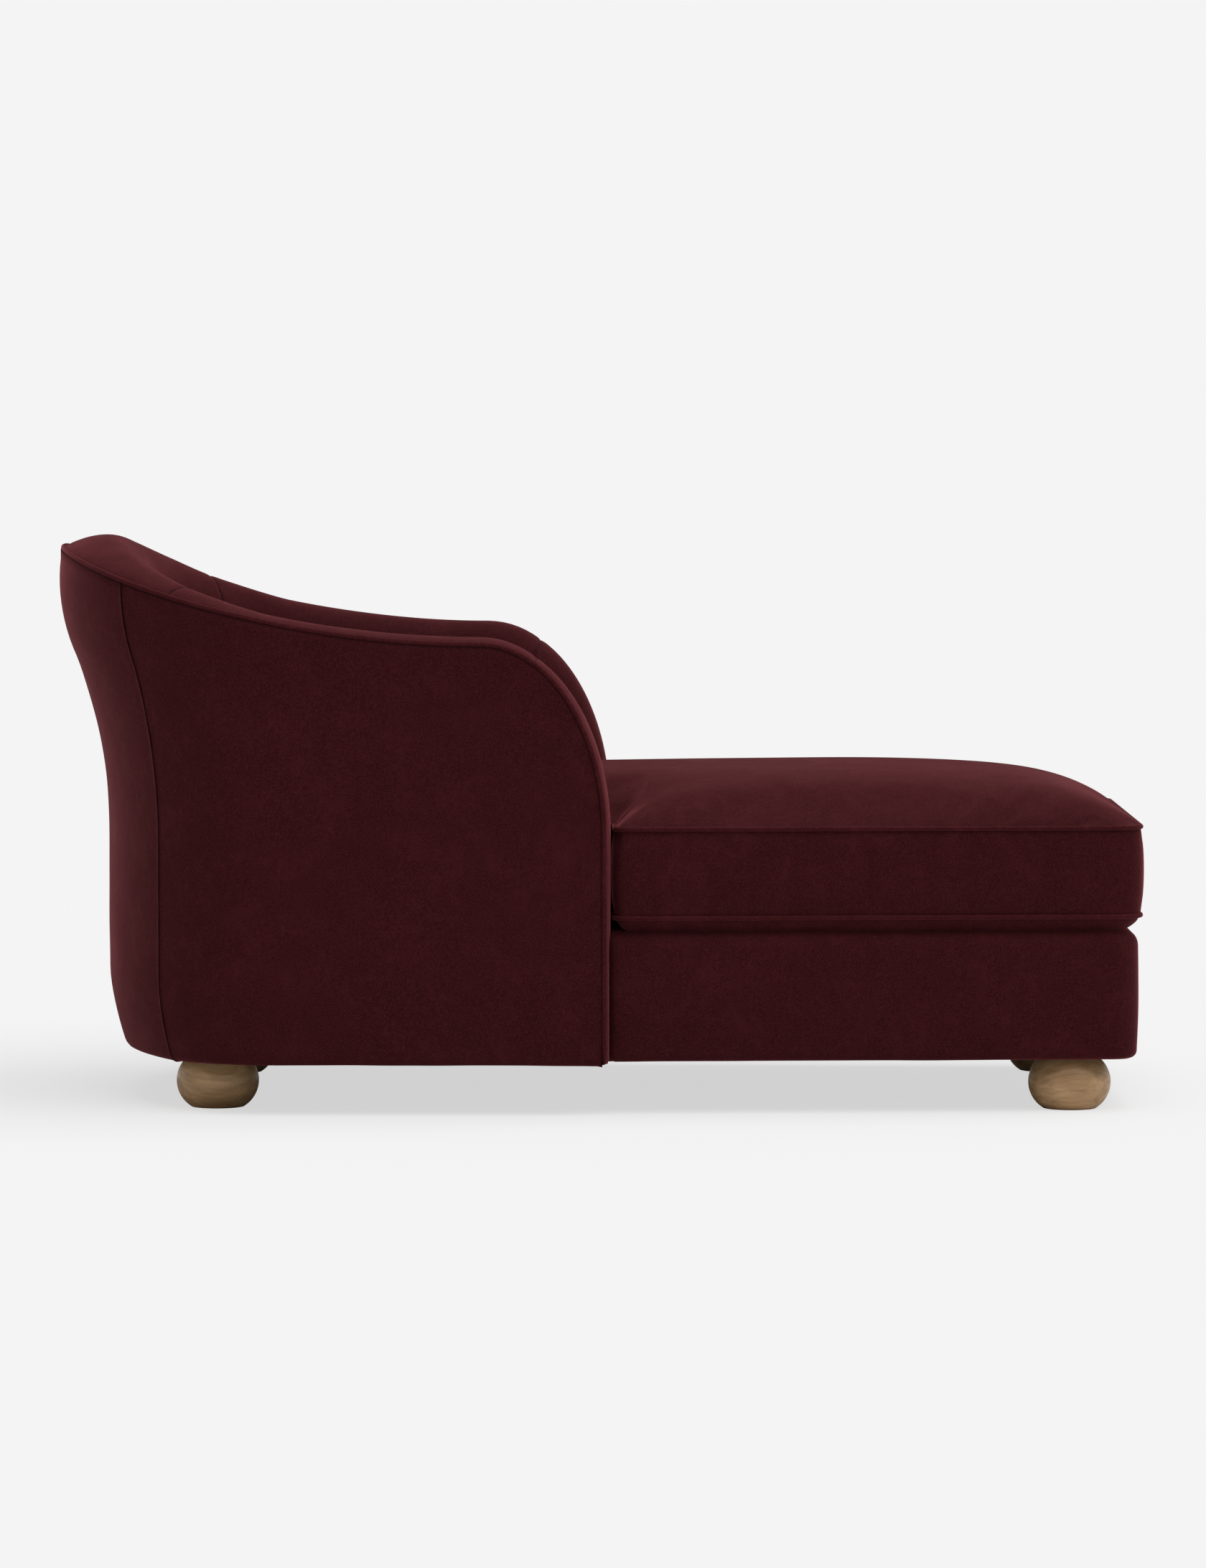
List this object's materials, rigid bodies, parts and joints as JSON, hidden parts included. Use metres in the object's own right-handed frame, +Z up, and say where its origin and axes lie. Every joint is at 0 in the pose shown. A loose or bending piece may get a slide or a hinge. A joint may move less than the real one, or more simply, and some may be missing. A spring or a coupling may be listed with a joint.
{
  "type": "chaise longue",
  "caption": "Chaise longue with a tub back, sloping arms, a loose T-shaped box seat cushion, an upholstered base and round turned feet.",
  "frame": {"origin": "centre of the footprint, on the floor", "axes": "+X from the tub back to the foot end, +Y to the sitter's left, +Z up"},
  "size_m": [1.6996, 0.86, 0.883],
  "materials": {
    "velvet": "deep wine velvet, short mottled nap",
    "welt_velvet": "same velvet over a piping cord",
    "oak": "pale oak, satin varnish",
    "plywood": "raw birch plywood",
    "beech": "planed beech",
    "zinc_steel": "zinc plated",
    "zip_metal": "dull plated",
    "felt": "dense brown felt",
    "zip_cloth": "woven zip tape with coil",
    "webbing": "elastic woven webbing",
    "deck_cloth": "plain lining cloth",
    "dust_cloth": "black spun cambric",
    "fibre": "white polyester fibre wrap",
    "foam": "cream polyurethane foam"
  },
  "bodies": {
    "frame": {"arm_foam_left": "foam", "arm_foam_right": "foam", "arm_front_cover_left": "velvet", "arm_front_cover_right": "velvet", "arm_panel_left": "plywood", "arm_panel_right": "plywood", "arm_post_left": "beech", "arm_post_right": "beech", "back_foam": "foam", "back_rail": "beech", "back_shell": "plywood", "base_cover": "velvet", "base_padding": "foam", "corner_blocks": "beech", "cross_webbing": "webbing", "deck_cloth": "deck_cloth", "deck_foam": "foam", "dust_cover": "dust_cloth", "foot_bolts": "zinc_steel", "foot_end_rail": "beech", "foot_front_left": "oak", "foot_front_right": "oak", "foot_glides": "felt", "foot_rear_left": "oak", "foot_rear_right": "oak", "front_floor_board": "plywood", "inside_arm_cover_left": "velvet", "inside_arm_cover_right": "velvet", "inside_back_cover": "velvet", "long_webbing": "webbing", "middle_rail": "beech", "outside_arm_cover_left": "velvet", "outside_arm_cover_right": "velvet", "outside_back_cover": "velvet", "rim_welt": "welt_velvet", "seat_rail_left": "beech", "seat_rail_right": "beech", "tee_nuts": "zinc_steel", "tub_floor_board": "plywood", "tub_rail_left": "beech", "tub_rail_right": "beech"},
    "cushion": {"cushion_bottom_panel": "velvet", "cushion_bottom_welt": "welt_velvet", "cushion_boxing": "velvet", "cushion_core": "foam", "cushion_filling": "fibre", "cushion_top_panel": "velvet", "cushion_top_welt": "welt_velvet", "zip_tape": "zip_cloth"},
    "zip_slider": {"zip_slider": "zip_metal"}
  },
  "joints": [
    {"name": "cushion_lift", "type": "slide", "parent": "frame", "child": "cushion", "axis": [0, 0, 1], "range_m": [0, 0.3]},
    {"name": "zip_slide", "type": "hinge", "parent": "cushion", "child": "zip_slider", "pos_m": [0.0093, 0, 0.3715], "axis": [0, 0, 1], "range_deg": [0, 20]}
  ]
}
